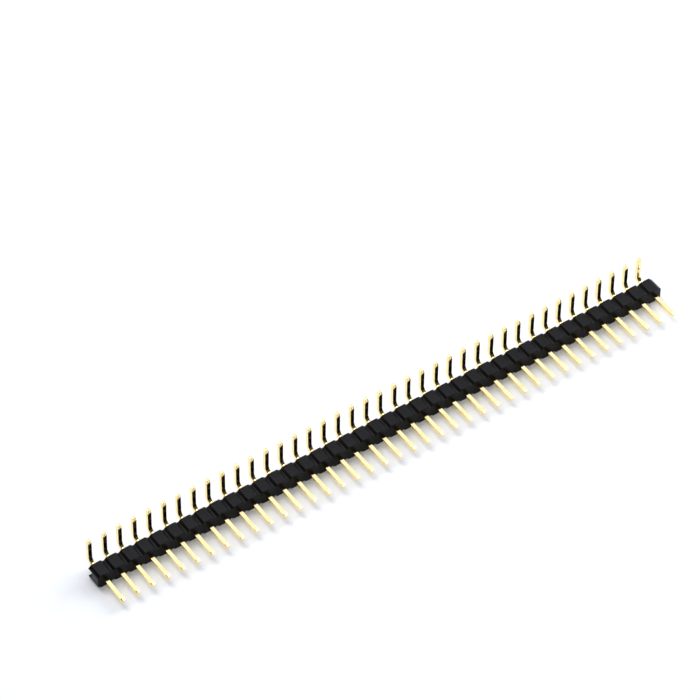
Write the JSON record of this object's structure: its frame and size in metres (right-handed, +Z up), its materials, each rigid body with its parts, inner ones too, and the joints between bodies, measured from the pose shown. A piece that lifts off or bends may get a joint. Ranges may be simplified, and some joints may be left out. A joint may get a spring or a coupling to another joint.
{
  "type": "pin header strip",
  "caption": "Right-angle single-row pin header: a black break-away insulator strip with square gold-plated pins that point out of one side and bend upright on the other.",
  "frame": {"origin": "centre of the bounding box's underside, on the floor the strip lies on", "axes": "+X along the row of pins, +Y from the mating pins towards the solder tails, +Z up along the tails"},
  "size_m": [0.1016, 0.0096, 0.0058],
  "materials": {
    "insulator": "satin black moulded thermoplastic",
    "contact": "bright gold plating on brass wire"
  },
  "bodies": {
    "root": {"insulator_body": "insulator", "contact_pin_01": "contact", "contact_pin_02": "contact", "contact_pin_03": "contact", "contact_pin_04": "contact", "contact_pin_05": "contact", "contact_pin_06": "contact", "contact_pin_07": "contact", "contact_pin_08": "contact", "contact_pin_09": "contact", "contact_pin_10": "contact", "contact_pin_11": "contact", "contact_pin_12": "contact", "contact_pin_13": "contact", "contact_pin_14": "contact", "contact_pin_15": "contact", "contact_pin_16": "contact", "contact_pin_17": "contact", "contact_pin_18": "contact", "contact_pin_19": "contact", "contact_pin_20": "contact", "contact_pin_21": "contact", "contact_pin_22": "contact", "contact_pin_23": "contact", "contact_pin_24": "contact", "contact_pin_25": "contact", "contact_pin_26": "contact", "contact_pin_27": "contact", "contact_pin_28": "contact", "contact_pin_29": "contact", "contact_pin_30": "contact", "contact_pin_31": "contact", "contact_pin_32": "contact", "contact_pin_33": "contact", "contact_pin_34": "contact", "contact_pin_35": "contact", "contact_pin_36": "contact", "contact_pin_37": "contact", "contact_pin_38": "contact", "contact_pin_39": "contact", "contact_pin_40": "contact"}
  },
  "joints": []
}
